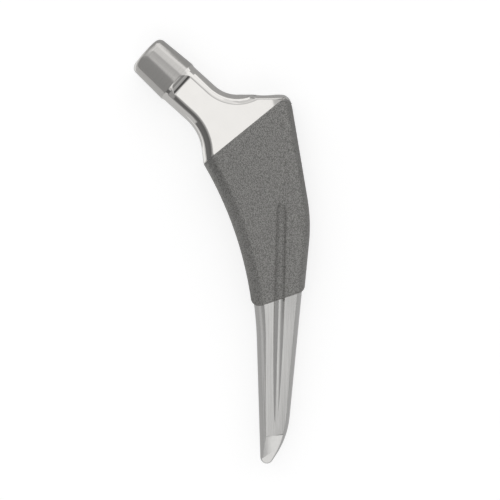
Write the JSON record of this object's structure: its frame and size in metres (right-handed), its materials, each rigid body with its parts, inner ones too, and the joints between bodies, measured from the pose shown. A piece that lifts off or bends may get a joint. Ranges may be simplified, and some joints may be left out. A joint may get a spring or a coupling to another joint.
{
  "type": "hip implant stem",
  "caption": "Cementless tapered-wedge hip stem: polished neck with a head taper, flattened shoulder, rough porous coating round the upper body and a slim grooved tip, lying on its back face.",
  "frame": {"origin": "middle of the part's footprint, on the surface that its back face lies towards", "axes": "+Z from the back face to the front face, +Y up along the stem from its tip to its shoulder, +X to the outer side, away from the head taper"},
  "size_m": [0.0536, 0.1286, 0.014],
  "materials": {
    "titanium_alloy": "polished neck and shoulder, turned taper, satin tip",
    "porous_titanium": "rough, matte, sprayed grains"
  },
  "bodies": {
    "root": {"stem_forging": "titanium_alloy", "porous_coating": "porous_titanium"}
  },
  "joints": []
}
